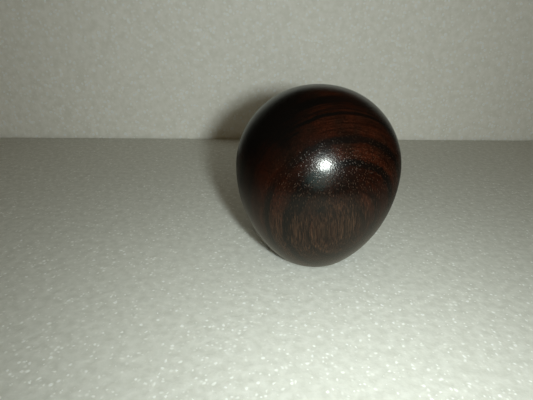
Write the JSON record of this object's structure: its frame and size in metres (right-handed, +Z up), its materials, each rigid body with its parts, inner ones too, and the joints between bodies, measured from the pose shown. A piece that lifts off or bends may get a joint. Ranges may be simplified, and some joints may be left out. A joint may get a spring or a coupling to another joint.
{
  "type": "wooden mallet",
  "caption": "Small turned mallet with a pear-shaped dark rosewood head on a flat foot and a slim round handle set in its back.",
  "frame": {"origin": "centre of the flat foot face that the head stands on", "axes": "+Z up along the head's turning axis, +Y along the handle from the head to the butt, +X to the side"},
  "size_m": [0.048, 0.13, 0.0518],
  "materials": {
    "head_rosewood": "dark rosewood with near-black rings, turned and polished to a satin gloss",
    "handle_rosewood": "dark rosewood with its grain along the handle, turned and oiled",
    "wedge_boxwood": "pale boxwood, sawn and left raw"
  },
  "bodies": {
    "root": {"head": "head_rosewood", "handle": "handle_rosewood", "fox_wedge": "wedge_boxwood"}
  },
  "joints": []
}
